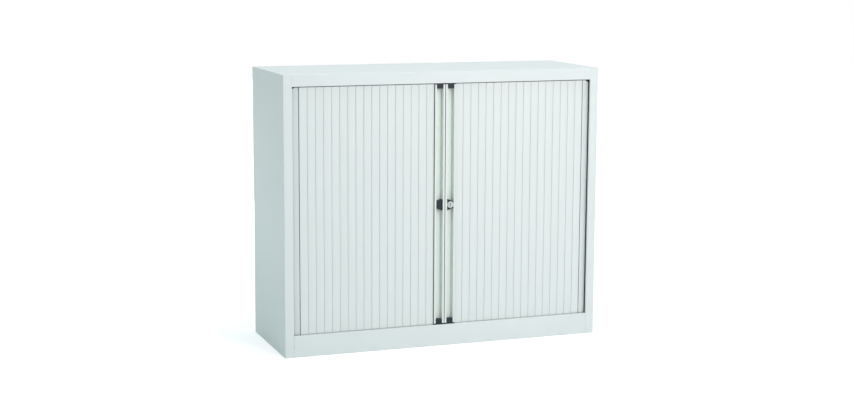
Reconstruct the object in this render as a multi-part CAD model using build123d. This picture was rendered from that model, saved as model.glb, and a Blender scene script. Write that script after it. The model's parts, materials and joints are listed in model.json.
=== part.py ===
from build123d import *
import os
from math import atan2, cos, degrees, hypot, pi, radians, sin, sqrt

# Side-opening roll front cupboard in folded sheet steel. Millimetres.
# Origin: centre of the footprint on the floor. +X to the right, +Y to the back, +Z up.

# Outside of the carcass
cabinet_width = 1200.0
cabinet_depth = 430.0
cabinet_height = 1000.0

# Sheet steel
sheet = 1.0
liner_sheet = 0.8
bend_radius = 1.5
stile_width = 32.0
header_height = 42.0
plinth_height = 78.0
front_return = 8.0
rear_flange = 15.0
pan_flange = 18.0
floor_height = 64.0
ceiling_drop = 28.0
panel_fit = 0.3

# Path that the roll fronts follow, measured at the hinges between the slats
slat_recess = 12.0
corner_radius = 46.0
side_run_offset = 10.5
rear_run_offset = 11.5
shutter_travel = 500.0
tail_margin = 24.0

# Slat section
slat_pitch = 29.45
slat_joint_gap = 1.4
slat_crown = 0.5
slat_skin = 1.2
hinge_depth = 4.0
bead_radius = 1.4
bead_play = 0.2
socket_wall = 0.9
hinge_facets = 6
neck_thickness = 1.0
socket_mouth_front = 24.0
socket_mouth_back = 64.0
hinge_reach = 0.5
flat_slats = 17
corner_slats = 3

# Tracks
track_wall = 2.0
groove_outside = 5.0
groove_inside = 5.4
track_height = 12.0
track_base = 4.0
end_play = 0.3
top_play = 3.0
track_gap = 0.5

# Lead posts
post_width = 40.0
post_recess = 5.0
post_meeting_gap = 2.0
post_wall = 1.4
inner_lip = 7.6
outer_lip = 7.0
channel_depth = 20.0
lip_return = 5.8
lip_radius = 1.3
post_slat_gap = 0.45

# End caps of the posts
cap_flange = 4.2
cap_block = 15.0
cap_fit = 0.2
cap_radius = 1.5
cap_clearance = 0.3
shoe_length = 28.0
shoe_play = 0.35

# Lock and catch
lock_height = 518.5
lock_offset = 20.8
housing_tall = 41.2
housing_short = 23.6
housing_recess = 1.0
housing_edge = 1.6
bezel_diameter = 23.4
bezel_proud = 1.6
bezel_barrel = 18.0
plug_diameter = 13.0
plug_play = 0.05
plug_proud = 0.4
keyhole_width = 1.8
keyhole_height = 7.0
keyhole_depth = 9.0
drive_flats = 7.0
drive_fit = 0.1
lock_nut_flats = 22.0
lock_nut_height = 2.4
cam_gap = 0.4
cam_thickness = 2.5
cam_hub_radius = 9.0
cam_arm_width = 13.0
cam_finger = 5.0
cam_leading_angle = 9.0
cam_trailing_angle = 10.0
cam_screw_flats = 12.0
cam_screw_head = 2.5
cam_screw_diameter = 4.0
striker_diameter = 6.0
striker_play = 0.9
striker_stop = 0.5
striker_head = 9.0
striker_head_height = 1.5
striker_seat = 8.0

# Inside fittings
liner_setback = 38.0
liner_flange = 9.0
liner_track_gap = 0.5
slot_pitch = 75.0
slot_margin = 54.0
slot_width = 12.0
slot_height = 3.0
slot_column_inset = 48.0
shelf_count = 2
shelf_fold = 25.0
shelf_lip = 10.0
shelf_end_gap = 1.0
shelf_front_gap = 3.0
shelf_rear_gap = 4.0
clip_tongue = 10.0
clip_thickness = 1.6
clip_drop = 9.0
clip_fit = 0.3

# Moulded clips under the tracks
clip_shares = (0.12, 0.88)
track_clip_length = 12.0
track_clip_width = 5.0
track_clip_barb = 2.0
track_clip_fit = 0.3

# Levelling feet
foot_inset_x = 70.0
foot_inset_y = 55.0
foot_pad_diameter = 36.0
foot_pad_height = 7.0
foot_pad_facets = 12
foot_stud_diameter = 10.0
foot_stud_top = 55.0
foot_thread_fit = 0.08
thread_facets = 12
foot_hex_flats = 14.0
foot_hex_height = 5.0
bracket_width = 60.0
bracket_depth = 46.0
bracket_plate = 2.0
bracket_clear = 22.0
weld_nut_flats = 17.0
weld_nut_height = 10.0
access_hole = 12.0

# Planes and lines that several pieces share
half_width = cabinet_width / 2
half_depth = cabinet_depth / 2
front_plane = -half_depth
inner_wall = half_width - sheet
back_inner_face = half_depth - 2 * sheet
opening_edge = half_width - stile_width
header_edge = cabinet_height - header_height
ceiling_face = cabinet_height - ceiling_drop
front_line = front_plane + slat_recess + hinge_depth
side_line = inner_wall - side_run_offset + sheet
rear_line = back_inner_face - rear_run_offset + 2 * sheet
arc_x = side_line - corner_radius
front_arc_y = front_line + corner_radius
rear_arc_y = rear_line - corner_radius
slat_bottom = floor_height + track_base + end_play
slat_top = ceiling_face - track_base - top_play
slat_length = slat_top - slat_bottom
socket_inner = bead_radius + bead_play
socket_outer = socket_inner + socket_wall
post_front = front_plane + post_recess
channel_floor = post_front + channel_depth
post_back = channel_floor + post_wall
post_inner_edge = post_meeting_gap / 2
channel_in = post_inner_edge + inner_lip
channel_out = post_width - outer_lip
post_hinge = post_width + post_slat_gap
path_run = corner_radius * pi + rear_arc_y - front_arc_y
tail_run = post_hinge + shutter_travel - arc_x + (flat_slats + corner_slats) * slat_pitch
rear_run = tail_run - path_run + tail_margin
post_bottom = plinth_height + cap_clearance + cap_flange + cap_fit
post_top = header_edge - cap_clearance - cap_flange - cap_fit
liner_face = half_width - liner_setback
track_inner_radius = corner_radius - groove_inside - track_wall
liner_reach = sqrt((track_inner_radius - liner_track_gap) ** 2 - (liner_face + liner_flange - arc_x) ** 2)
liner_front = front_arc_y - liner_reach
liner_rear = rear_arc_y + liner_reach
cam_front = post_back + lock_nut_height + cam_gap
cam_back = cam_front + cam_thickness


def box(x, y, z):
    """Solid block between three pairs of limits."""
    size = [high - low for low, high in (x, y, z)]
    middle = [(low + high) / 2 for low, high in (x, y, z)]
    return Pos(*middle) * Box(*size)


def mirrored(shape):
    """The left-hand twin of a right-hand piece."""
    return mirror(shape, about=Plane.YZ)


def save(name, shape):
    """Writes one node, with its solids kept apart."""
    solids = shape.solids()
    node = solids[0] if len(solids) == 1 else Compound(children=list(solids))
    node.label = name
    export_step(node, f"parts/{name}.step")


def folded(outer, thickness, radius):
    """Section of a folded sheet: outer is its outside face, with the metal on the left-hand side of it."""
    ways = []
    for (ax, ay), (bx, by) in zip(outer, outer[1:]):
        run = hypot(bx - ax, by - ay)
        ways.append(((bx - ax) / run, (by - ay) / run))
    inner = []
    for index, (x, y) in enumerate(outer):
        before = ways[max(index - 1, 0)]
        after = ways[min(index, len(ways) - 1)]
        nx, ny = -before[1] - after[1], before[0] + after[0]
        scale = 2 * thickness / (nx * nx + ny * ny)
        inner.append((x + nx * scale, y + ny * scale))
    face = make_face(Polyline(*outer, *reversed(inner), close=True))
    bends = [face.vertices().sort_by_distance(Vector(*corner, 0))[0] for corner in outer[1:-1]]
    return fillet(bends, radius)


def upright(face, low, high):
    """Section in plan, raised from one height to another."""
    return Pos(0, 0, low) * extrude(face, high - low, dir=(0, 0, 1))


def hexagon(flats):
    """Hexagon by its size across flats."""
    return RegularPolygon(flats / sqrt(3), 6)


def thread_section(diameter, fit):
    """Section of a thread, or with a fit of its bore, as a many-sided figure."""
    return RegularPolygon(diameter / 2 + fit, thread_facets)


def facing_back(face, x, z, front, back):
    """Section drawn as seen from the front, run from one depth to another."""
    plane = Plane(origin=(x, front, z), x_dir=(1, 0, 0), z_dir=(0, -1, 0))
    return extrude(plane * face, -(back - front))


# ---- Carcass ----------------------------------------------------------------------------------------------


def side_panel():
    """Right-hand side with its front stile, the stile's return and the rear flange."""
    outside = [
        (opening_edge, front_plane + front_return),
        (opening_edge, front_plane),
        (half_width, front_plane),
        (half_width, half_depth),
        (half_width - rear_flange, half_depth),
    ]
    return upright(folded(outside, sheet, bend_radius), 0, cabinet_height - sheet)


def top_panel():
    """Top sheet that folds down into the header between the stiles, and into a rear flange."""
    top_plate = (cabinet_height - sheet, cabinet_height)
    flange_end = half_width - rear_flange - panel_fit
    front_outside = [
        (0, cabinet_height),
        (front_plane, cabinet_height),
        (front_plane, header_edge),
        (front_plane + front_return, header_edge),
    ]
    rear_outside = [(half_depth, cabinet_height - rear_flange), (half_depth, cabinet_height), (0, cabinet_height)]
    panel = extrude(Plane.YZ * folded(front_outside, sheet, bend_radius), opening_edge, both=True)
    panel += extrude(Plane.YZ * folded(rear_outside, sheet, bend_radius), flange_end, both=True)
    corner = box((opening_edge, half_width), (front_plane, 0), top_plate)
    corner += box((flange_end, half_width), (0, half_depth), top_plate)
    return panel + corner + mirrored(corner)


def plinth():
    """Plinth face between the stiles, returned at its top edge and its foot."""
    outside = [
        (front_plane + front_return, plinth_height),
        (front_plane, plinth_height),
        (front_plane, 0),
        (front_plane + front_return, 0),
    ]
    half = opening_edge - panel_fit
    return extrude(Plane.YZ * folded(outside, sheet, bend_radius), half, both=True)


def back_panel():
    """Back sheet, laid inside the rear flanges of the sides and of the top, clear of their bends."""
    half = inner_wall - bend_radius
    return box((-half, half), (back_inner_face, half_depth - sheet), (0, cabinet_height - sheet - bend_radius))


def track_clip_points():
    """Plan positions of one track's moulded clips, on the line of the hinges, with the run's direction."""
    straight = [(arc_x * share, front_line, True) for share in clip_shares]
    side_middle = (front_arc_y + rear_arc_y) / 2
    return straight + [(side_line, side_middle, False), (arc_x - rear_run / 2, rear_line, True)]


def foot_points():
    """Plan positions of the four feet, front left first."""
    x = half_width - foot_inset_x
    y = half_depth - foot_inset_y
    return [(-x, -y), (x, -y), (-x, y), (x, y)]


def track_clip(x, y, along_x, low, high, fit):
    """Oblong between two heights: a moulded clip, or with a fit its slot in the pan."""
    long_half = track_clip_length / 2 + fit
    short_half = track_clip_width / 2 + fit
    half_x, half_y = (long_half, short_half) if along_x else (short_half, long_half)
    return box((x - half_x, x + half_x), (y - half_y, y + half_y), (low, high))


def pan(face_height, upwards):
    """Shallow pan across the carcass. Its flanges lie against the sides and the back panel."""
    front = front_plane + front_return + panel_fit
    low, high = sorted((face_height, face_height + upwards * pan_flange))
    hollow_low, hollow_high = (low + sheet, high) if upwards > 0 else (low, high - sheet)
    shell = box((-inner_wall, inner_wall), (front, back_inner_face), (low, high))
    shell -= box(
        (-inner_wall + sheet, inner_wall - sheet),
        (front + sheet, back_inner_face - sheet),
        (hollow_low, hollow_high),
    )
    for x, y, along_x in track_clip_points():
        slot = track_clip(x, y, along_x, face_height - 2 * sheet, face_height + 2 * sheet, track_clip_fit)
        shell = shell - slot - mirrored(slot)
    return shell


def base_pan():
    """Floor of the cupboard, with a hole above each levelling foot."""
    shell = pan(floor_height, -1)
    for x, y in foot_points():
        shell -= Pos(x, y, floor_height) * Cylinder(access_hole / 2, 4 * sheet)
    return shell


# ---- Tracks -----------------------------------------------------------------------------------------------


def path_band(outside, inside):
    """Plan of a band that follows the right-hand hinge line, its two edges set off from that line."""
    start = track_gap / 2
    end = arc_x - rear_run
    far = corner_radius + outside
    near = corner_radius - inside
    half_turn = sqrt(0.5)
    edge = [
        Line((start, front_line - outside), (arc_x, front_line - outside)),
        ThreePointArc(
            (arc_x, front_line - outside),
            (arc_x + far * half_turn, front_arc_y - far * half_turn),
            (side_line + outside, front_arc_y),
        ),
        Line((side_line + outside, front_arc_y), (side_line + outside, rear_arc_y)),
        ThreePointArc(
            (side_line + outside, rear_arc_y),
            (arc_x + far * half_turn, rear_arc_y + far * half_turn),
            (arc_x, rear_line + outside),
        ),
        Line((arc_x, rear_line + outside), (end, rear_line + outside)),
        Line((end, rear_line + outside), (end, rear_line - inside)),
        Line((end, rear_line - inside), (arc_x, rear_line - inside)),
        ThreePointArc(
            (arc_x, rear_line - inside),
            (arc_x + near * half_turn, rear_arc_y + near * half_turn),
            (side_line - inside, rear_arc_y),
        ),
        Line((side_line - inside, rear_arc_y), (side_line - inside, front_arc_y)),
        ThreePointArc(
            (side_line - inside, front_arc_y),
            (arc_x + near * half_turn, front_arc_y - near * half_turn),
            (arc_x, front_line + inside),
        ),
        Line((arc_x, front_line + inside), (start, front_line + inside)),
        Line((start, front_line + inside), (start, front_line - outside)),
    ]
    return make_face(edge)


def track(base_height, upwards):
    """
    Right-hand track: a moulded channel that leads the slats round both corners. Barbed clips under it
    snap through slots in the pan.
    """
    low, high = sorted((base_height, base_height + upwards * track_height))
    body = upright(path_band(groove_outside + track_wall, groove_inside + track_wall), low, high)
    floor = base_height + upwards * track_base
    open_side = base_height + upwards * (track_height + 1)
    groove_low, groove_high = sorted((floor, open_side))
    body -= upright(path_band(groove_outside, groove_inside), groove_low, groove_high)
    neck_end = base_height - upwards * (sheet + track_clip_fit)
    tip = neck_end - upwards * track_clip_barb
    for x, y, along_x in track_clip_points():
        body += track_clip(x, y, along_x, *sorted((base_height + upwards, neck_end)), 0)
        body += track_clip(x, y, along_x, *sorted((neck_end, tip)), 2 * track_clip_fit)
    return body


# ---- Roll fronts ------------------------------------------------------------------------------------------


def wedge(centre, radius, first, last):
    """Sector of a disc between two angles, for the mouth of a socket."""
    x, y = centre
    points = [centre]
    steps = 4
    for step in range(steps + 1):
        angle = radians(first + (last - first) * step / steps)
        points.append((x + radius * cos(angle), y + radius * sin(angle)))
    return make_face(Polyline(*points, close=True))


def slat_section():
    """
    One slat in plan, between its two hinge centres on the X axis, with the front face towards -Y.
    A crowned skin with bevelled edges hides a bead on its far edge and a C-shaped socket on its near edge.
    The mouth of the socket is cut off-centre, so that the roll front bends one way only, round its corners.
    """
    front = -hinge_depth
    near = -slat_pitch / 2 + slat_joint_gap / 2
    far = slat_pitch / 2 - slat_joint_gap / 2
    web_near = -slat_pitch / 2 + socket_outer - hinge_reach
    web_far = slat_pitch / 2 - socket_outer - hinge_reach
    skin = make_face(
        [
            ThreePointArc((near + slat_skin, front), (0, front - slat_crown), (far - slat_skin, front)),
            Line((far - slat_skin, front), (far, front + slat_skin)),
            Line((far, front + slat_skin), (near, front + slat_skin)),
            Line((near, front + slat_skin), (near + slat_skin, front)),
        ]
    )
    near_web = Pos(web_near + slat_skin / 2, front / 2) * Rectangle(slat_skin, -front)
    far_web = Pos(web_far - slat_skin / 2, (front + neck_thickness / 2) / 2) * Rectangle(
        slat_skin, neck_thickness / 2 - front
    )
    near_hinge = Pos(-slat_pitch / 2, 0)
    far_hinge = Pos(slat_pitch / 2, 0)
    bore = near_hinge * RegularPolygon(socket_inner, hinge_facets, major_radius=False)
    socket = near_hinge * RegularPolygon(socket_outer, hinge_facets) - bore
    mouth = wedge((-slat_pitch / 2, 0), 2 * socket_outer, 180 - socket_mouth_back, 180 + socket_mouth_front)
    bead = far_hinge * RegularPolygon(bead_radius, hinge_facets)
    neck_length = slat_pitch / 2 - web_far + slat_skin / 2
    neck = Pos(slat_pitch / 2 - neck_length / 2, 0) * Rectangle(neck_length, neck_thickness)
    return skin + (near_web - bore) + far_web + (socket - mouth) + bead + neck


def path_point(run):
    """Point on the right-hand hinge line at a run measured from the start of the front corner."""
    quarter = corner_radius * pi / 2
    if run <= 0:
        return arc_x + run, front_line
    if run <= quarter:
        angle = run / corner_radius
        return arc_x + corner_radius * sin(angle), front_arc_y - corner_radius * cos(angle)
    return side_line, front_arc_y + run - quarter


def next_run(run):
    """Run of the next hinge, one pitch away from the last in a straight line."""
    x, y = path_point(run)
    low, high = run + slat_pitch * 0.9, run + slat_pitch * 1.3
    for _ in range(50):
        middle = (low + high) / 2
        mx, my = path_point(middle)
        if hypot(mx - x, my - y) < slat_pitch:
            low = middle
        else:
            high = middle
    return (low + high) / 2


def slats(first, count):
    """Slats of the right-hand roll front, counted from the lead post."""
    run = post_hinge - arc_x
    for _ in range(first):
        run = next_run(run)
    solid = extrude(slat_section(), slat_length, dir=(0, 0, 1))
    placed = []
    for _ in range(count):
        x, y = path_point(run)
        run = next_run(run)
        end_x, end_y = path_point(run)
        turn = degrees(atan2(end_y - y, end_x - x))
        place = Pos((x + end_x) / 2, (y + end_y) / 2, slat_bottom) * Rot(0, 0, turn)
        placed.append(place * solid)
    return Compound(children=placed)


def post_section():
    """
    Lead post in plan: a finger channel between an inner and an outer lip, each lip a small box, and the
    bead that carries the first slat.
    """
    wall = post_wall
    inner_box = Pos((post_inner_edge + channel_in) / 2, (post_front + post_back) / 2) * Rectangle(
        inner_lip, post_back - post_front
    )
    inner_box -= Pos((post_inner_edge + channel_in) / 2, (post_front + post_back) / 2) * Rectangle(
        inner_lip - 2 * wall, post_back - post_front - 2 * wall
    )
    floor = Pos((channel_in + channel_out) / 2, (channel_floor + post_back) / 2) * Rectangle(
        channel_out - channel_in + 2 * wall, wall
    )
    outer_wall = Pos(channel_out + wall / 2, (post_front + post_back) / 2) * Rectangle(
        wall, post_back - post_front
    )
    lip_middle = (channel_out + post_width) / 2
    outer_box = Pos(lip_middle, post_front + lip_return / 2) * Rectangle(outer_lip, lip_return)
    outer_box -= Pos(lip_middle, post_front + lip_return / 2) * Rectangle(
        outer_lip - 2 * wall, lip_return - 2 * wall
    )
    neck = Pos((channel_out + wall + post_hinge) / 2, front_line) * Rectangle(
        post_hinge - channel_out - wall, neck_thickness
    )
    bead = Pos(post_hinge, front_line) * RegularPolygon(bead_radius, hinge_facets)
    section = inner_box + floor + outer_wall + outer_box + neck + bead
    front_corners = [
        vertex
        for vertex in section.vertices()
        if abs(vertex.Y - post_front) < 1e-6
    ]
    return fillet(front_corners, lip_radius)


def lead_post():
    """Right-hand lead post between its two end caps."""
    return upright(post_section(), post_bottom, post_top)


def right_post():
    """Lead post with the hole for the lock barrel through its channel."""
    hole = facing_back(thread_section(bezel_barrel, cap_fit), lock_offset, lock_height, channel_floor, post_back)
    return lead_post() - hole


def left_post():
    """Lead post with the hole for the striker stud through its channel."""
    hole = facing_back(
        Circle(striker_diameter / 2 + cap_fit), lock_offset, lock_height, channel_floor, post_back
    )
    return mirrored(lead_post() - hole)


def post_cap(end, inwards, reach):
    """Right-hand end cap: flange over the post's end, block in the finger channel, shoe in the groove."""
    flange_out = end - inwards * (cap_fit + cap_flange)
    flange_in = end - inwards * cap_fit
    thickness = sorted((flange_out, flange_in))
    flange = box((post_inner_edge, channel_out + post_wall), (post_front, post_back), thickness)
    flange += box((channel_out, post_width), (post_front, post_front + lip_return), thickness)
    front_corners = flange.edges().filter_by(Axis.Z).group_by(Axis.Y)[0]
    flange = fillet(front_corners, lip_radius)
    block = box(
        (channel_in + cap_fit, channel_out - cap_fit),
        (post_front + cap_fit, channel_floor - cap_fit),
        sorted((flange_in, flange_in + inwards * cap_block)),
    )
    block = chamfer(block.edges().filter_by(Axis.Z).group_by(Axis.Y)[0], cap_radius / 2)
    middle = (post_inner_edge + post_width) / 2
    shoe = box(
        (middle - shoe_length / 2, middle + shoe_length / 2),
        (front_line - groove_outside + shoe_play, front_line + groove_inside - shoe_play),
        sorted((flange_out, reach)),
    )
    shoe = chamfer(shoe.edges().filter_by(Axis.Z), cap_radius)
    return flange + block + shoe


def housing_outline():
    """Trapezoid of both housings as seen from the front, tall at the meeting side."""
    left = channel_in + cap_fit - lock_offset
    right = channel_out - cap_fit - lock_offset
    outline = make_face(
        Polyline(
            (left, -housing_tall / 2),
            (right, -housing_short / 2),
            (right, housing_short / 2),
            (left, housing_tall / 2),
            close=True,
        )
    )
    return fillet(outline.vertices(), housing_edge)


def housing():
    """Right-hand trapezoid block that fills the finger channel at lock height."""
    front = post_front + housing_recess
    return facing_back(housing_outline(), lock_offset, lock_height, front, channel_floor)


def lock_housing():
    """Housing with the seat of the lock's barrel."""
    front = post_front + housing_recess
    bore = thread_section(bezel_barrel, cap_fit)
    return housing() - facing_back(bore, lock_offset, lock_height, front, channel_floor)


def catch_housing():
    """Mirror housing with a dished face and the bore of the striker stud."""
    front = post_front + housing_recess
    bore = Circle(striker_diameter / 2 + plug_play)
    dish = offset(housing_outline(), -2 * housing_edge)
    body = housing() - facing_back(dish, lock_offset, lock_height, front, front + housing_edge)
    body -= facing_back(bore, lock_offset, lock_height, channel_floor - striker_seat, channel_floor)
    return mirrored(body)


def lock_bezel():
    """Fixed body of the lock: round face, barrel through the channel and bore of the plug."""
    face = post_front + housing_recess
    flange = facing_back(Circle(bezel_diameter / 2), lock_offset, lock_height, face - bezel_proud, face)
    barrel = facing_back(thread_section(bezel_barrel, 0), lock_offset, lock_height, face, cam_front - cam_gap)
    bore = Circle(plug_diameter / 2 + plug_play)
    return flange + barrel - facing_back(
        bore, lock_offset, lock_height, face - bezel_proud, cam_front - cam_gap
    )


def lock_nut():
    """Nut that clamps the lock to the channel's floor from behind."""
    ring = hexagon(lock_nut_flats) - thread_section(bezel_barrel, plug_play)
    return facing_back(ring, lock_offset, lock_height, post_back, post_back + lock_nut_height)


def lock_plug():
    """Turning plug with its keyhole, the square drive that carries the cam and the cam screw's thread."""
    face = post_front + housing_recess - bezel_proud - plug_proud
    shoulder = cam_front - cam_gap / 2
    plug = facing_back(Circle(plug_diameter / 2), lock_offset, lock_height, face, shoulder)
    drive = Rectangle(drive_flats, drive_flats) - thread_section(cam_screw_diameter, plug_play)
    keyhole = Rectangle(keyhole_width, keyhole_height)
    plug -= facing_back(keyhole, lock_offset, lock_height, face, face + keyhole_depth)
    return plug + facing_back(drive, lock_offset, lock_height, shoulder, cam_back)


def lock_cam():
    """
    Hooked cam, pointing up when unlocked. Its notch is open on the leading side, so that a quarter turn
    carries it over the striker stud.
    """
    reach = 2 * lock_offset
    half_notch = striker_diameter / 2 + striker_play
    outer = reach + half_notch + cam_finger
    inner = reach - half_notch - cam_finger
    lead = 90 + cam_leading_angle
    trail = 90 - cam_trailing_angle
    head = wedge((0, 0), 2 * outer, trail, lead) & (Circle(outer) - Circle(inner))
    arm = Pos(0, inner / 2 + cam_finger / 2) * Rectangle(cam_arm_width, inner + cam_finger)
    notch_end = striker_diameter / 2 + striker_stop
    notch = Pos(notch_end - outer / 2, reach) * Rectangle(outer, 2 * half_notch)
    shape = Circle(cam_hub_radius) + (arm & Circle(reach - half_notch)) + head - notch
    shape = shape - Rectangle(drive_flats + drive_fit, drive_flats + drive_fit)
    return facing_back(shape, lock_offset, lock_height, cam_front, cam_back)


def cam_screw():
    """Hexagon screw that holds the cam on the plug's drive."""
    shoulder = cam_front - cam_gap / 2
    head = facing_back(hexagon(cam_screw_flats), lock_offset, lock_height, cam_back, cam_back + cam_screw_head)
    return head + facing_back(
        thread_section(cam_screw_diameter, 0), lock_offset, lock_height, shoulder, cam_back
    )


def striker_stud():
    """Stud behind the left post that the cam hooks over, headed so that the cam can't slip off."""
    head_front = cam_back + cam_gap
    shank = facing_back(
        Circle(striker_diameter / 2),
        lock_offset,
        lock_height,
        channel_floor - striker_seat,
        head_front,
    )
    head = facing_back(
        hexagon(striker_head), lock_offset, lock_height, head_front, head_front + striker_head_height
    )
    return mirrored(shank + head)


# ---- Inside fittings --------------------------------------------------------------------------------------


def slot_columns():
    """Depths of the two columns of shelf slots."""
    return liner_front + slot_column_inset, liner_rear - slot_column_inset


def slot_heights():
    """Heights of the shelf slots, bottom to top."""
    heights = []
    height = floor_height + slot_margin
    while height < ceiling_face - slot_margin:
        heights.append(height)
        height += slot_pitch
    return heights


def inner_liner():
    """Right-hand liner between the goods and the roll front, with its shelf slots and two turned flanges."""
    outside = [
        (liner_face + liner_flange, liner_rear),
        (liner_face, liner_rear),
        (liner_face, liner_front),
        (liner_face + liner_flange, liner_front),
    ]
    liner = upright(folded(outside, liner_sheet, bend_radius), floor_height, ceiling_face)
    for y in slot_columns():
        for z in slot_heights():
            liner -= box(
                (liner_face - 1, liner_face + liner_sheet + 1),
                (y - slot_width / 2, y + slot_width / 2),
                (z - slot_height / 2, z + slot_height / 2),
            )
    return liner


def back_liner():
    """Sheet that parts the goods from the roll fronts behind them, butted to both side liners."""
    return box(
        (-liner_face, liner_face),
        (liner_rear - liner_sheet, liner_rear),
        (floor_height, ceiling_face),
    )


def shelf_levels():
    """Underside of each shelf, at the slot nearest to an even spacing."""
    clear = ceiling_face - floor_height
    levels = []
    for number in range(1, shelf_count + 1):
        wanted = floor_height + clear * number / (shelf_count + 1)
        levels.append(min(slot_heights(), key=lambda height: abs(height - wanted)))
    return levels


def shelf(level):
    """Shelf folded down on four sides, its front fold turned back under."""
    base = level + slot_height / 2
    front = liner_front + shelf_front_gap
    rear = liner_rear - liner_sheet - shelf_rear_gap
    half = liner_face - shelf_end_gap
    body = box((-half, half), (front, rear), (base, base + shelf_fold))
    body -= box(
        (-half + sheet, half - sheet),
        (front + sheet, rear - sheet),
        (base, base + shelf_fold - sheet),
    )
    body += box((-half, half), (front, front + shelf_lip), (base, base + sheet))
    return body


def shelf_clip(y, level):
    """Clip hooked through one slot of the right-hand liner, with its tongue under the shelf."""
    top = level + slot_height / 2
    half = slot_width / 2 - clip_fit
    tongue = box(
        (liner_face - clip_tongue, liner_face + liner_sheet + clip_fit + clip_thickness),
        (y - half, y + half),
        (top - clip_thickness, top),
    )
    hook_low = liner_face + liner_sheet + clip_fit
    hook = box((hook_low, hook_low + clip_thickness), (y - half, y + half), (top - clip_drop, top))
    rest = box(
        (liner_face - clip_fit - clip_thickness, liner_face - clip_fit),
        (y - half, y + half),
        (top - clip_drop, top),
    )
    return tongue + hook + rest


def shelf_clips(level):
    """Four clips of one shelf."""
    right = [shelf_clip(y, level) for y in slot_columns()]
    return Compound(children=right + [mirrored(clip) for clip in right])


# ---- Levelling feet ---------------------------------------------------------------------------------------


def foot_bracket(x, y):
    """Channel under the base pan with the weld nut that a foot screws through."""
    half = bracket_width / 2
    outside = [
        (-half, floor_height - sheet),
        (-half, bracket_clear),
        (half, bracket_clear),
        (half, floor_height - sheet),
    ]
    section = Plane.XZ * folded(outside, bracket_plate, bend_radius)
    channel = extrude(section, bracket_depth / 2, both=True)
    nut = Pos(0, 0, bracket_clear) * extrude(hexagon(weld_nut_flats), weld_nut_height, dir=(0, 0, 1))
    thread = extrude(thread_section(foot_stud_diameter, foot_thread_fit), 2 * foot_stud_top, both=True)
    return Pos(x, y, 0) * (channel + nut - thread)


def foot(x, y):
    """Levelling foot: faceted pad to turn by hand, hexagon and stud."""
    pad = extrude(RegularPolygon(foot_pad_diameter / 2, foot_pad_facets), foot_pad_height, dir=(0, 0, 1))
    nut = Pos(0, 0, foot_pad_height) * extrude(hexagon(foot_hex_flats), foot_hex_height, dir=(0, 0, 1))
    stud = extrude(thread_section(foot_stud_diameter, 0), foot_stud_top, dir=(0, 0, 1))
    return Pos(x, y, 0) * (pad + nut + stud)


# ---- All nodes --------------------------------------------------------------------------------------------


def main():
    os.makedirs("parts", exist_ok=True)
    right_side = side_panel()
    save("right_side_panel", right_side)
    save("left_side_panel", mirrored(right_side))
    save("top_panel", top_panel())
    save("plinth", plinth())
    save("back_panel", back_panel())
    save("base_pan", base_pan())
    save("ceiling_pan", pan(ceiling_face, 1))

    for level, base_height, upwards in (("bottom", floor_height, 1), ("top", ceiling_face, -1)):
        right_track = track(base_height, upwards)
        save(f"right_{level}_track", right_track)
        save(f"left_{level}_track", mirrored(right_track))

    for stretch, first, count in (("front", 0, flat_slats), ("corner", flat_slats, corner_slats)):
        right_slats = slats(first, count)
        save(f"right_{stretch}_slats", right_slats)
        save(f"left_{stretch}_slats", mirrored(right_slats))

    save("right_lead_post", right_post())
    save("left_lead_post", left_post())
    for level, end, inwards, reach in (
        ("bottom", post_bottom, 1, slat_bottom),
        ("top", post_top, -1, slat_top),
    ):
        right_cap = post_cap(end, inwards, reach)
        save(f"right_post_{level}_cap", right_cap)
        save(f"left_post_{level}_cap", mirrored(right_cap))

    save("lock_housing", lock_housing())
    save("catch_housing", catch_housing())
    save("lock_bezel", lock_bezel())
    save("lock_nut", lock_nut())
    save("lock_plug", lock_plug())
    save("lock_cam", lock_cam())
    save("cam_screw", cam_screw())
    save("striker_stud", striker_stud())

    right_liner = inner_liner()
    save("right_inner_liner", right_liner)
    save("left_inner_liner", mirrored(right_liner))
    save("back_liner", back_liner())
    for name, level in zip(("lower", "upper"), shelf_levels()):
        save(f"{name}_shelf", shelf(level))
        save(f"{name}_shelf_clips", shelf_clips(level))

    corners = ("front_left", "front_right", "rear_left", "rear_right")
    for name, (x, y) in zip(corners, foot_points()):
        save(f"{name}_foot_bracket", foot_bracket(x, y))
        save(f"{name}_foot", foot(x, y))


main()
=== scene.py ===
import json
import math

import bmesh
import bpy
from mathutils import Matrix, Vector


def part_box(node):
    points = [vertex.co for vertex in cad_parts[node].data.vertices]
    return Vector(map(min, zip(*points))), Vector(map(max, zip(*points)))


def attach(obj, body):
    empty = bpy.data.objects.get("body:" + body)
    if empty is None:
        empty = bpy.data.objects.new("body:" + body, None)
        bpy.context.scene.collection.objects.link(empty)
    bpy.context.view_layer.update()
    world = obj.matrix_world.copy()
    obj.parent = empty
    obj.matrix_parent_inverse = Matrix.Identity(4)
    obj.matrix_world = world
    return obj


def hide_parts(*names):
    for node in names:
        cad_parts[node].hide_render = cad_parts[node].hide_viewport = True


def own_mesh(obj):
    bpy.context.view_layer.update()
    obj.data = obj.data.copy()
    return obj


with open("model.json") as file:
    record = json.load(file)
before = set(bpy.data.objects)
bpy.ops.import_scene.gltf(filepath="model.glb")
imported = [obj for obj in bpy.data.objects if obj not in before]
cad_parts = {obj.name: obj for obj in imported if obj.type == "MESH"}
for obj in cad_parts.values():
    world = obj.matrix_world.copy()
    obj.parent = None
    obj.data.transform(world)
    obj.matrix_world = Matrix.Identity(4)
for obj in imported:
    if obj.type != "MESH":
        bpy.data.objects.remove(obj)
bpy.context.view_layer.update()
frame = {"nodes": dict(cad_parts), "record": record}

nodes = frame["nodes"]
print("frame loaded:", len(nodes), "nodes")


# Small helpers

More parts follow.
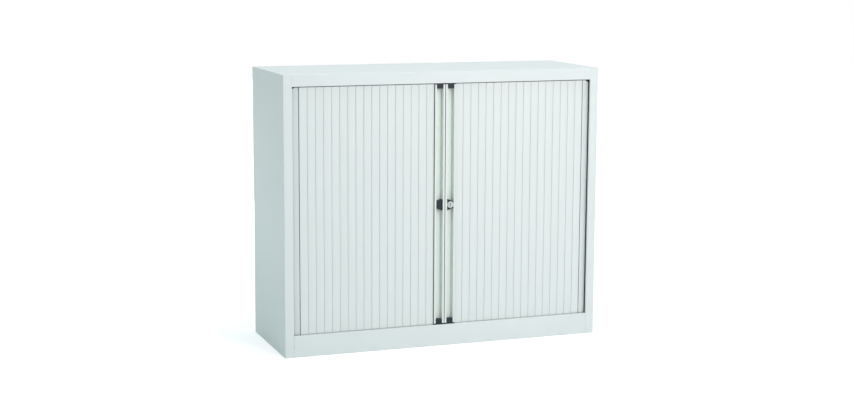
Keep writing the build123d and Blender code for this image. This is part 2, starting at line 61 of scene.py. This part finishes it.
def screenColour(red, green, blue):
    # an 8-bit screen colour as the linear values a shader takes
    values = []
    for channel in (red / 255, green / 255, blue / 255):
        values.append(channel / 12.92 if channel <= 0.04045 else ((channel + 0.055) / 1.055) ** 2.4)
    return (*values, 1.0)


mergeDistance = 1e-6    # points nearer than this become one


def addPiece(name, shape, body, material):
    # turns a finished bmesh into an object at the origin that rides on one CAD body
    bmesh.ops.remove_doubles(shape, verts=shape.verts[:], dist=mergeDistance)
    bmesh.ops.recalc_face_normals(shape, faces=shape.faces[:])
    mesh = bpy.data.meshes.new(name)
    shape.to_mesh(mesh)
    shape.free()
    mesh.materials.append(material)
    piece = bpy.data.objects.new(name, mesh)
    bpy.context.scene.collection.objects.link(piece)
    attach(piece, body)
    return piece


def softenEdges(piece, angle):
    # smooth shading that stays crisp past an angle
    bpy.context.view_layer.objects.active = piece
    piece.select_set(True)
    bpy.ops.object.shade_smooth_by_angle(angle=math.radians(angle))
    piece.select_set(False)


# Helpers for shader nodes

def combine(tree, operation, first, second=0.0):
    # one step of arithmetic; each side is a socket or a plain number
    step = tree.nodes.new("ShaderNodeMath")
    step.operation = operation
    for socket, value in zip(step.inputs, (first, second)):
        if isinstance(value, (int, float)):
            socket.default_value = value
        else:
            tree.links.new(value, socket)
    return step.outputs["Value"]


def ramp(tree, value, start, end, low=0.0, high=1.0, course="SMOOTHSTEP"):
    # goes from low to high while the value goes from start to end, which may run downwards
    step = tree.nodes.new("ShaderNodeMapRange")
    step.interpolation_type = course
    step.inputs["From Min"].default_value = start
    step.inputs["From Max"].default_value = end
    step.inputs["To Min"].default_value = low
    step.inputs["To Max"].default_value = high
    tree.links.new(value, step.inputs["Value"])
    return step.outputs["Result"]


def mixColours(tree, factor, first, second):
    # goes from the first colour to the second; the first is a socket or a plain colour
    step = tree.nodes.new("ShaderNodeMix")
    step.data_type = "RGBA"
    if isinstance(first, tuple):
        step.inputs["A"].default_value = first
    else:
        tree.links.new(first, step.inputs["A"])
    step.inputs["B"].default_value = second
    tree.links.new(factor, step.inputs["Factor"])
    return step.outputs["Result"]


def startGroup(name, inputNames, outputNames):
    # a group that takes a vector and the named numbers, and has no steps yet
    group = bpy.data.node_groups.new(name, "ShaderNodeTree")
    group.interface.new_socket(name="Vector", in_out="INPUT", socket_type="NodeSocketVector")
    for socketName in inputNames:
        group.interface.new_socket(name=socketName, in_out="INPUT", socket_type="NodeSocketFloat")
    for socketName in outputNames:
        group.interface.new_socket(name=socketName, in_out="OUTPUT", socket_type="NodeSocketFloat")
    start = group.nodes.new("NodeGroupInput")
    end = group.nodes.new("NodeGroupOutput")
    return group, start, end


# Grain groups: each gives a fine height and a broad tone from the same coordinates

def startGrain(name):
    return startGroup(name, ("Fine", "Broad"), ("Height", "Tone"))


def addNoise(group, start, scaleSocket, detail, roughness):
    noise = group.nodes.new("ShaderNodeTexNoise")
    noise.inputs["Detail"].default_value = detail
    noise.inputs["Roughness"].default_value = roughness
    group.links.new(start.outputs["Vector"], noise.inputs["Vector"])
    group.links.new(start.outputs[scaleSocket], noise.inputs["Scale"])
    return noise


def makeCoatGrain():
    # sprayed and baked paint: a soft ripple over a slow change of tone
    group, start, end = startGrain("coatGrain")
    ripple = addNoise(group, start, "Fine", detail=2.0, roughness=0.45)
    tone = addNoise(group, start, "Broad", detail=3.0, roughness=0.5)
    group.links.new(ripple.outputs["Fac"], end.inputs["Height"])
    group.links.new(tone.outputs["Fac"], end.inputs["Tone"])
    return group


lengthwaysScale = 0.012    # how little the drawn grain changes along its length


def makeDrawnGrain():
    # drawn or extruded stock: hairlines along the height
    group, start, end = startGrain("drawnGrain")
    stretch = group.nodes.new("ShaderNodeMapping")
    stretch.inputs["Scale"].default_value = (1.0, 1.0, lengthwaysScale)
    group.links.new(start.outputs["Vector"], stretch.inputs["Vector"])
    lines = addNoise(group, start, "Fine", detail=3.0, roughness=0.6)
    tone = addNoise(group, start, "Broad", detail=2.0, roughness=0.5)
    group.links.new(stretch.outputs["Vector"], lines.inputs["Vector"])
    group.links.new(stretch.outputs["Vector"], tone.inputs["Vector"])
    group.links.new(lines.outputs["Fac"], end.inputs["Height"])
    group.links.new(tone.outputs["Fac"], end.inputs["Tone"])
    return group


def makeMouldGrain():
    # moulded plastic: pebbled cells with a finer noise over them
    group, start, end = startGrain("mouldGrain")
    cells = group.nodes.new("ShaderNodeTexVoronoi")
    cells.feature = "SMOOTH_F1"
    group.links.new(start.outputs["Vector"], cells.inputs["Vector"])
    group.links.new(start.outputs["Fine"], cells.inputs["Scale"])
    speckle = addNoise(group, start, "Fine", detail=3.0, roughness=0.6)
    tone = addNoise(group, start, "Broad", detail=3.0, roughness=0.5)
    pebbles = combine(group, "MULTIPLY", cells.outputs["Distance"], speckle.outputs["Fac"])
    group.links.new(pebbles, end.inputs["Height"])
    group.links.new(tone.outputs["Fac"], end.inputs["Tone"])
    return group


# Shade groups: each gives a mask of painted shade that rises from 0 where a piece lies in a gap or turns
# out of sight

def startShade(name):
    group, start, end = startGroup(name, (), ("Mask",))
    parts = group.nodes.new("ShaderNodeSeparateXYZ")
    group.links.new(start.outputs["Vector"], parts.inputs["Vector"])
    return group, parts, end


def distanceFrom(group, value, place):
    # how far a value lies from a place, to either side
    return combine(group, "ABSOLUTE", combine(group, "SUBTRACT", value, place))


postShadeValues = {
    "middle": 0.0205,        # of a post, from the meeting line
    "half": 0.0189,          # from that middle to where a flank's painted shade starts
    "flankSoft": 0.0004,
    "front": -0.209,         # depth at which that painted shade starts
    "frontSoft": 0.001,
}


def makePostShade(values):
    # painted shade on the upright flanks of both posts, behind their rounded fronts
    group, parts, end = startShade("postShade")
    sideways = combine(group, "ABSOLUTE", parts.outputs["X"])
    offMiddle = distanceFrom(group, sideways, values["middle"])
    flank = ramp(group, offMiddle, values["half"], values["half"] + values["flankSoft"])
    depth = ramp(group, parts.outputs["Y"], values["front"], values["front"] + values["frontSoft"])
    group.links.new(combine(group, "MULTIPLY", flank, depth), end.inputs["Mask"])
    return group


slatShadeValues = {
    "top": 0.9541, "topShade": 1.0,            # painted shadow under the header
    "bottom": 0.0812, "bottomShade": 0.25,     # painted shade over the plinth
    "soft": 0.0012,
    "bendStart": 0.553,      # distance from the meeting line where the painted shadow at the top starts to reach lower
    "bendDrop": 0.5,         # and how much lower for each metre past it
}


def makeSlatShade(values):
    # painted shade in the joints and on hidden parts, from the mesh, and painted shadow on the ends of
    # the slats beside the tracks
    group, parts, end = startShade("slatShade")
    stored = group.nodes.new("ShaderNodeAttribute")
    stored.attribute_name = "paintedShade"
    sideways = combine(group, "ABSOLUTE", parts.outputs["X"])
    intoBend = combine(group, "MAXIMUM", combine(group, "SUBTRACT", sideways, values["bendStart"]), 0.0)
    drop = combine(group, "MULTIPLY", intoBend, values["bendDrop"])
    height = parts.outputs["Z"]
    lowered = combine(group, "ADD", height, drop)
    soft = values["soft"]
    top = ramp(group, lowered, values["top"], values["top"] + soft, high=values["topShade"])
    bottom = ramp(group, height, values["bottom"], values["bottom"] - soft, high=values["bottomShade"])
    ends = combine(group, "MAXIMUM", top, bottom)
    group.links.new(combine(group, "MAXIMUM", stored.outputs["Fac"], ends), end.inputs["Mask"])
    return group


lockShadeValues = {
    "x": 0.0208, "z": 0.5185,                  # centre of the lock
    "seam": 0.00655,                           # radius of the seam round the plug
    "seamDark": 0.0002, "seamEnd": 0.0005,     # distances from the seam at which its painted shade is full and gone
    "slotHalfWidth": 0.0014,
    "slotHalfHeight": 0.004,
    "slotSoft": 0.0002,
}


def makeLockShade(values):
    # painted shade in the seam round the plug and in the keyhole
    group, parts, end = startShade("lockShade")
    across = distanceFrom(group, parts.outputs["X"], values["x"])
    upright = distanceFrom(group, parts.outputs["Z"], values["z"])
    acrossSquared = combine(group, "POWER", across, 2.0)
    uprightSquared = combine(group, "POWER", upright, 2.0)
    radius = combine(group, "SQRT", combine(group, "ADD", acrossSquared, uprightSquared))
    offSeam = distanceFrom(group, radius, values["seam"])
    seam = ramp(group, offSeam, values["seamEnd"], values["seamDark"])
    halfWidth, halfHeight, soft = values["slotHalfWidth"], values["slotHalfHeight"], values["slotSoft"]
    slotAcross = ramp(group, across, halfWidth + soft, halfWidth)
    slotUpright = ramp(group, upright, halfHeight + soft, halfHeight)
    slot = combine(group, "MULTIPLY", slotAcross, slotUpright)
    group.links.new(combine(group, "MAXIMUM", seam, slot), end.inputs["Mask"])
    return group


grainGroups = {"coat": makeCoatGrain(), "drawn": makeDrawnGrain(), "mould": makeMouldGrain()}
shadeGroups = {
    "post": makePostShade(postShadeValues),
    "slat": makeSlatShade(slatShadeValues),
    "lock": makeLockShade(lockShadeValues),
}
print("grain groups:", sorted(grainGroups), "shade groups:", sorted(shadeGroups))


# Materials

# fine and broad are scales of the grain, bump and depth its relief, dark and light the ends of its tone,
# smooth and rough the ends of its roughness, and a last colour is the painted shade that the shade group
# lays into gaps
finishes = {
    "carcassPaint": {
        "grain": "coat", "fine": 420.0, "broad": 4.0, "bump": 0.05, "depth": 0.0004,
        "dark": screenColour(220, 230, 229), "light": screenColour(225, 234, 233),
        "smooth": 0.36, "rough": 0.46, "metallic": 0.0,
    },
    "interiorPaint": {
        "grain": "coat", "fine": 420.0, "broad": 5.0, "bump": 0.05, "depth": 0.0004,
        "dark": screenColour(214, 223, 221), "light": screenColour(220, 229, 227),
        "smooth": 0.42, "rough": 0.52, "metallic": 0.0,
    },
    "slatPlastic": {
        "grain": "drawn", "fine": 1100.0, "broad": 25.0, "bump": 0.06, "depth": 0.0002,
        "dark": screenColour(220, 230, 228), "light": screenColour(226, 234, 233),
        "smooth": 0.34, "rough": 0.46, "metallic": 0.0,
        # painted shade in the joints, behind the stile and at the slat ends
        "paintedShade": screenColour(38, 42, 41), "shade": "slat",
    },
    "postPaint": {
        "grain": "drawn", "fine": 1300.0, "broad": 40.0, "bump": 0.05, "depth": 0.0002,
        "dark": screenColour(223, 232, 227), "light": screenColour(229, 237, 232),
        "smooth": 0.32, "rough": 0.42, "metallic": 0.0,
        # painted shade on the flanks of the posts
        "paintedShade": screenColour(70, 76, 73), "shade": "post",
    },
    "blackPlastic": {
        "grain": "mould", "fine": 1500.0, "broad": 70.0, "bump": 0.25, "depth": 0.0002,
        "dark": screenColour(25, 40, 45), "light": screenColour(34, 51, 57),
        "smooth": 0.42, "rough": 0.55, "metallic": 0.0, "specular": 0.25,
    },
    "trackPlastic": {
        "grain": "mould", "fine": 1200.0, "broad": 50.0, "bump": 0.15, "depth": 0.0002,
        "dark": screenColour(196, 203, 202), "light": screenColour(205, 211, 210),
        "smooth": 0.35, "rough": 0.45, "metallic": 0.0,
    },
    "lockChrome": {
        "grain": "coat", "fine": 2600.0, "broad": 120.0, "bump": 0.03, "depth": 0.0001,
        "dark": screenColour(150, 163, 161), "light": screenColour(166, 179, 176),
        "smooth": 0.3, "rough": 0.4, "metallic": 1.0,
        # painted shade in the plug's seam and keyhole
        "paintedShade": screenColour(30, 33, 34), "shade": "lock",
    },
    "zincPlate": {
        "grain": "coat", "fine": 900.0, "broad": 90.0, "bump": 0.06, "depth": 0.0002,
        "dark": screenColour(176, 178, 174), "light": screenColour(200, 201, 196),
        "smooth": 0.3, "rough": 0.44, "metallic": 1.0,
    },
    "footPlastic": {
        "grain": "mould", "fine": 1300.0, "broad": 60.0, "bump": 0.2, "depth": 0.0002,
        "dark": screenColour(38, 40, 41), "light": screenColour(48, 50, 51),
        "smooth": 0.5, "rough": 0.62, "metallic": 0.0,
    },
}


def makeFinish(name, values):
    material = bpy.data.materials.new(name)
    material.use_nodes = True
    tree = material.node_tree
    shader = tree.nodes["Principled BSDF"]
    place = tree.nodes.new("ShaderNodeTexCoord")
    grain = tree.nodes.new("ShaderNodeGroup")
    grain.node_tree = grainGroups[values["grain"]]
    grain.inputs["Fine"].default_value = values["fine"]
    grain.inputs["Broad"].default_value = values["broad"]
    tree.links.new(place.outputs["Object"], grain.inputs["Vector"])

    coat = mixColours(tree, grain.outputs["Tone"], values["dark"], values["light"])
    if "paintedShade" in values:
        # painted shade: what lies inside a joint or behind an edge is coloured darker
        mask = tree.nodes.new("ShaderNodeGroup")
        mask.node_tree = shadeGroups[values["shade"]]
        tree.links.new(place.outputs["Object"], mask.inputs["Vector"])
        coat = mixColours(tree, mask.outputs["Mask"], coat, values["paintedShade"])
    tree.links.new(coat, shader.inputs["Base Color"])

    gloss = ramp(tree, grain.outputs["Tone"], 0.0, 1.0, values["smooth"], values["rough"], "LINEAR")
    tree.links.new(gloss, shader.inputs["Roughness"])

    bump = tree.nodes.new("ShaderNodeBump")
    bump.inputs["Strength"].default_value = values["bump"]
    bump.inputs["Distance"].default_value = values["depth"]
    tree.links.new(grain.outputs["Height"], bump.inputs["Height"])
    tree.links.new(bump.outputs["Normal"], shader.inputs["Normal"])
    shader.inputs["Metallic"].default_value = values["metallic"]
    if "specular" in values:
        shader.inputs["Specular IOR Level"].default_value = values["specular"]
    return material


materials = {name: makeFinish(name, values) for name, values in finishes.items()}

finishOfSlot = {
    "carcass_paint": "carcassPaint",
    "interior_paint": "interiorPaint",
    "slat_plastic": "slatPlastic",
    "post_paint": "postPaint",
    "black_plastic": "blackPlastic",
    "track_plastic": "trackPlastic",
    "lock_chrome": "lockChrome",
    "zinc": "zincPlate",
    "foot_plastic": "footPlastic",
}
slotOfNode = {part["node"]: part["material_slot"] for part in frame["record"]["subparts"]}
for nodeName, node in nodes.items():
    node.data.materials.clear()
    node.data.materials.append(materials[finishOfSlot[slotOfNode[nodeName]]])
print("materials:", len(materials))


# Roll fronts

slatValues = {
    "pitch": 0.02945,          # hinge to hinge
    "firstHinge": 0.04045,     # from the meeting line
    "hingeLine": -0.199,       # depth of the hinges
    "faceAhead": 0.004,        # face in front of the hinges
    "gap": 0.0014,             # open joint between two faces
    "skin": 0.0012,            # thickness of the face and the webs
    "crown": 0.0005,           # height of the middle of the face over its sides
    "faceCuts": 9,             # cuts that let the face follow its crown
    "edge": 0.0005,            # rounded front edges
    "edgeSteps": 3,
    "beadRadius": 0.0014,
    "beadSides": 12,
    "socketInner": 0.0016,     # radii of the socket
    "socketOuter": 0.0025,
    "socketSteps": 10,
    "neck": 0.001,             # thickness of the bead's neck
    "mouth": 88.0,             # degrees of the socket left open
    "cornerX": 0.5435,         # where the run starts to turn, from the meeting line
    "cornerRadius": 0.046,
    "flatCount": 17,
    "cornerCount": 3,
    "travel": 0.5,             # how far a roll front opens
    "flatShade": 0.08,         # how dark the painted shade in the joints between two flat slats is
    "bendShade": 1.0,          # and those between the slats in the corner
    "shadeStart": 0.0003,      # depths behind the face where a joint's painted shade starts and grows full
    "shadeFull": 0.0009,
    "openingEdge": 0.5685,     # past this the slats lie behind the stile and are painted in shade
    "openingSoft": 0.005,
    "smoothAngle": 35.0,       # degrees past which an edge stays crisp
}


def slatShape(values, low, high):
    # one slat about its own middle, face towards -Y, its hinges on the X axis
    shape = bmesh.new()
    width = values["pitch"] - values["gap"]
    height = high - low
    middle = (low + high) / 2
    faceMiddle = -values["faceAhead"] + values["skin"] / 2
    size = Matrix.Diagonal((width, values["skin"], height, 1))
    bmesh.ops.create_cube(shape, size=1, matrix=Matrix.Translation((0, faceMiddle, middle)) @ size)
    across = [e for e in shape.edges if abs((e.verts[0].co - e.verts[1].co).x) > width / 2]
    bmesh.ops.subdivide_edges(shape, edges=across, cuts=values["faceCuts"], use_grid_fill=True)
    for vert in shape.verts:
        if vert.co.y < faceMiddle:
            vert.co.y -= values["crown"] * (1 - (2 * vert.co.x / width) ** 2)
    sideX = width / 2 - values["edge"] / 2
    corners = [
        e for e in shape.edges
        if all(abs(v.co.x) > sideX and v.co.y < faceMiddle for v in e.verts)
    ]
    bmesh.ops.bevel(
        shape, geom=corners, offset=values["edge"], offset_type="OFFSET",
        affect="EDGES", segments=values["edgeSteps"], profile=0.5, material=-1,
    )

    # bead on the far hinge, with its neck and web
    half = values["pitch"] / 2
    upright = Matrix.Translation((half, 0, middle))
    bmesh.ops.create_cone(
        shape, cap_ends=True, segments=values["beadSides"], radius1=values["beadRadius"],
        radius2=values["beadRadius"], depth=height, matrix=upright,
    )
    webX = half - values["socketOuter"] - values["skin"]
    webDepth = values["faceAhead"] - values["skin"]
    neckLength = half - webX
    for x, y, sizeX, sizeY in (
        (half - neckLength / 2, 0, neckLength, values["neck"]),
        (webX, -webDepth / 2, values["skin"], webDepth),
        (-half + values["socketOuter"] + values["skin"] / 2, -webDepth / 2, values["skin"], webDepth),
    ):
        place = Matrix.Translation((x, y, middle)) @ Matrix.Diagonal((sizeX, sizeY, height, 1))
        bmesh.ops.create_cube(shape, size=1, matrix=place)

    # socket on the near hinge: a wall's section spun round, with its mouth left open
    firstAngle = math.radians(180 + values["mouth"] / 2)
    lowRing = [Vector((-half + r, 0, low)) for r in (values["socketInner"], values["socketOuter"])]
    wall = [shape.verts.new(point) for point in lowRing]
    wall += [shape.verts.new(point + Vector((0, 0, height))) for point in reversed(lowRing)]
    section = shape.faces.new(wall)
    bmesh.ops.rotate(shape, verts=wall, cent=(-half, 0, 0), matrix=Matrix.Rotation(firstAngle, 3, "Z"))
    bmesh.ops.spin(
        shape, geom=[section, *section.edges, *section.verts], cent=(-half, 0, 0), axis=(0, 0, 1),
        angle=math.radians(360 - values["mouth"]), steps=values["socketSteps"], use_merge=False,
    )
    return shape


def pathPoint(values, run):
    # point on the hinge line, run measured from where the corner starts
    radius = values["cornerRadius"]
    quarter = radius * math.pi / 2
    centreY = values["hingeLine"] + radius
    if run <= 0:
        return Vector((values["cornerX"] + run, values["hingeLine"], 0))
    if run <= quarter:
        angle = run / radius
        x = values["cornerX"] + radius * math.sin(angle)
        return Vector((x, centreY - radius * math.cos(angle), 0))
    return Vector((values["cornerX"] + radius, centreY + run - quarter, 0))


halvings = 40    # steps of the search for the next hinge


def nextRun(values, run):
    # run of the next hinge, one pitch away as the crow flies
    here = pathPoint(values, run)
    low, high = run, run + 2 * values["pitch"]
    for step in range(halvings):
        middle = (low + high) / 2
        if (pathPoint(values, middle) - here).length < values["pitch"]:
            low = middle
        else:
            high = middle
    return (low + high) / 2


def slatRow(values, single, first, count, jointShade):
    # copies of one slat set out along the hinge line; a point attribute holds how dark each point's
    # painted shade is
    row = bmesh.new()
    paintedShade = row.verts.layers.float.new("paintedShade")
    shadeStart = values["shadeStart"] - values["faceAhead"]
    shadeDepth = values["shadeFull"] - values["shadeStart"]
    run = values["firstHinge"] - values["cornerX"]
    for number in range(first + count):
        ahead = nextRun(values, run)
        start, end = pathPoint(values, run), pathPoint(values, ahead)
        run = ahead
        if number < first:
            continue
        turn = math.atan2(end.y - start.y, end.x - start.x)
        place = Matrix.Translation((start + end) / 2) @ Matrix.Rotation(turn, 4, "Z")
        done = len(row.verts)
        mesh = bpy.data.meshes.new("slatCopy")
        single.to_mesh(mesh)
        mesh.transform(place)
        row.from_mesh(mesh)
        bpy.data.meshes.remove(mesh)
        back = place.inverted()
        for vert in list(row.verts)[done:]:
            behindFace = ((back @ vert.co).y - shadeStart) / shadeDepth
            pastEdge = (vert.co.x - values["openingEdge"]) / values["openingSoft"]
            vert[paintedShade] = min(max(behindFace, 0), 1) * jointShade + min(max(pastEdge, 0), 1)
    return row


def mirrorAcross(shape):
    bmesh.ops.scale(shape, verts=shape.verts[:], vec=(-1, 1, 1))
    bmesh.ops.reverse_faces(shape, faces=shape.faces[:])


slatLow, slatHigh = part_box("right_front_slats")
oneSlat = slatShape(slatValues, slatLow.z, slatHigh.z)
flatCount = slatValues["flatCount"]
for side, sign in (("left", -1), ("right", 1)):
    flatRow = slatRow(slatValues, oneSlat, 0, flatCount, slatValues["flatShade"])
    bendRow = slatRow(slatValues, oneSlat, flatCount, slatValues["cornerCount"], slatValues["bendShade"])
    if sign < 0:
        mirrorAcross(flatRow)
        mirrorAcross(bendRow)
    flatPiece = addPiece(f"{side}RollFront", flatRow, "carcass", materials["slatPlastic"])
    softenEdges(flatPiece, slatValues["smoothAngle"])
    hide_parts(f"{side}_front_slats")
    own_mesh(flatPiece)
    bendPiece = addPiece(f"{side}CornerSlats", bendRow, "carcass", materials["slatPlastic"])
    softenEdges(bendPiece, slatValues["smoothAngle"])
    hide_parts(f"{side}_corner_slats")
oneSlat.free()
print("roll fronts set out")


# Stage, lamps and camera

def seenByEye(tree):
    # 1 for rays that look at the stage or are mirrored towards it, 0 for rays that light the object
    path = tree.nodes.new("ShaderNodeLightPath")
    seen = combine(tree, "MAXIMUM", path.outputs["Is Camera Ray"], path.outputs["Is Glossy Ray"])
    return combine(tree, "MAXIMUM", seen, path.outputs["Is Transmission Ray"])


floorValues = {
    "size": 24.0,
    "cells": 8,
    "albedo": screenColour(236, 238, 238),
    "roughness": 0.9,
    "nearGlow": 0.48, "farGlow": 1.0,         # strength of the glow in the middle and far out
    "nearRadius": 0.9, "farRadius": 3.0,      # distances from the middle between which it changes
}


def makeFloor(values):
    shape = bmesh.new()
    cells = values["cells"]
    bmesh.ops.create_grid(shape, x_segments=cells, y_segments=cells, size=values["size"] / 2)
    mesh = bpy.data.meshes.new("studioFloor")
    shape.to_mesh(mesh)
    shape.free()
    floor = bpy.data.objects.new("studioFloor", mesh)
    bpy.context.scene.collection.objects.link(floor)
    material = bpy.data.materials.new("studioFloor")
    material.use_nodes = True
    tree = material.node_tree
    shader = tree.nodes["Principled BSDF"]
    shader.inputs["Base Color"].default_value = values["albedo"]
    shader.inputs["Roughness"].default_value = values["roughness"]
    shader.inputs["Specular IOR Level"].default_value = 0.0
    shader.inputs["Emission Color"].default_value = (1, 1, 1, 1)
    # the lamps light the middle of the floor, so the rest of it glows more
    place = tree.nodes.new("ShaderNodeTexCoord")
    distance = tree.nodes.new("ShaderNodeVectorMath")
    distance.operation = "LENGTH"
    tree.links.new(place.outputs["Object"], distance.inputs[0])
    spread = ramp(
        tree, distance.outputs["Value"], values["nearRadius"], values["farRadius"],
        values["nearGlow"], values["farGlow"],
    )
    glow = combine(tree, "MULTIPLY", seenByEye(tree), spread)
    tree.links.new(glow, shader.inputs["Emission Strength"])
    mesh.materials.append(material)


worldValues = {
    "ambient": 0.415, "tint": (0.93, 0.96, 1.0, 1.0),           # as it lights the object
    "seenStrength": 1.0, "seenColour": (1.0, 1.0, 1.0, 1.0),    # as the eye sees it
}


def makeWorld(values):
    world = bpy.data.worlds.new("studioWorld")
    bpy.context.scene.world = world
    world.use_nodes = True
    tree = world.node_tree
    background = tree.nodes["Background"]
    eye = seenByEye(tree)
    strength = ramp(tree, eye, 0.0, 1.0, values["ambient"], values["seenStrength"], "LINEAR")
    tree.links.new(strength, background.inputs["Strength"])
    colour = mixColours(tree, eye, values["tint"], values["seenColour"])
    tree.links.new(colour, background.inputs["Color"])


lampValues = {
    "frontLamp": {
        "at": (0.6, -3.6, 2.2), "towards": (0.0, 0.0, 0.5), "wide": 0.8, "high": 0.8,
        "watts": 42.0, "colour": (0.94, 1.0, 0.94),
    },
    "rightLamp": {
        "at": (1.1, -2.8, 1.0), "towards": (0.2, 0.0, 0.5), "wide": 1.0, "high": 1.0,
        "watts": 12.5, "colour": (1.0, 0.73, 0.79),
    },
    "topLamp": {
        "at": (0.2, -0.6, 4.2), "towards": (0.0, 0.0, 0.5), "wide": 3.0, "high": 3.0,
        "watts": 60.0, "colour": (0.91, 0.97, 1.0),
    },
    "leftSideLamp": {
        "at": (-4.5, 1.2, 1.6), "towards": (-0.6, 0.0, 0.5), "wide": 2.0, "high": 2.0,
        "watts": 12.5, "colour": (0.3, 1.0, 0.8),
    },
    "rightSideLamp": {
        "at": (3.2, 0.9, 0.5), "towards": (0.6, 0.0, 0.5), "wide": 1.6, "high": 0.9,
        "watts": 20.0, "colour": (0.88, 1.0, 1.0),
    },
    "rearLamp": {
        "at": (0.2, 3.4, 0.5), "towards": (0.0, 0.2, 0.5), "wide": 2.0, "high": 0.9,
        "watts": 30.0, "colour": (0.88, 1.0, 1.0),
    },
}


def addLamp(name, values):
    light = bpy.data.lights.new(name, "AREA")
    light.shape = "RECTANGLE"
    light.size, light.size_y = values["wide"], values["high"]
    light.energy = values["watts"]
    light.color = values["colour"]
    lamp = bpy.data.objects.new(name, light)
    bpy.context.scene.collection.objects.link(lamp)
    lamp.visible_camera = False
    lamp.location = values["at"]
    aim = Vector(values["towards"]) - Vector(values["at"])
    lamp.rotation_euler = aim.to_track_quat("-Z", "Y").to_euler()


cameraValues = {
    "at": (-2.033, -5.539, 1.423),
    "yaw": 20.23, "down": 9.02, "roll": 0.28,    # degrees
    "lens": 67.5,
    "farthest": 100.0,
}


def addCamera(values):
    data = bpy.data.cameras.new("studioCamera")
    data.lens = values["lens"]
    data.clip_end = values["farthest"]
    camera = bpy.data.objects.new("studioCamera", data)
    bpy.context.scene.collection.objects.link(camera)
    turn = Matrix.Rotation(-math.radians(values["yaw"]), 4, "Z")
    tilt = Matrix.Rotation(math.radians(90 - values["down"]), 4, "X")
    roll = Matrix.Rotation(math.radians(values["roll"]), 4, "Z")
    camera.matrix_world = Matrix.Translation(values["at"]) @ turn @ tilt @ roll
    bpy.context.scene.camera = camera


makeFloor(floorValues)
makeWorld(worldValues)
for lampName, values in lampValues.items():
    addLamp(lampName, values)
addCamera(cameraValues)
bpy.context.scene.view_settings.view_transform = "Standard"
print("stage, lamps and camera placed")
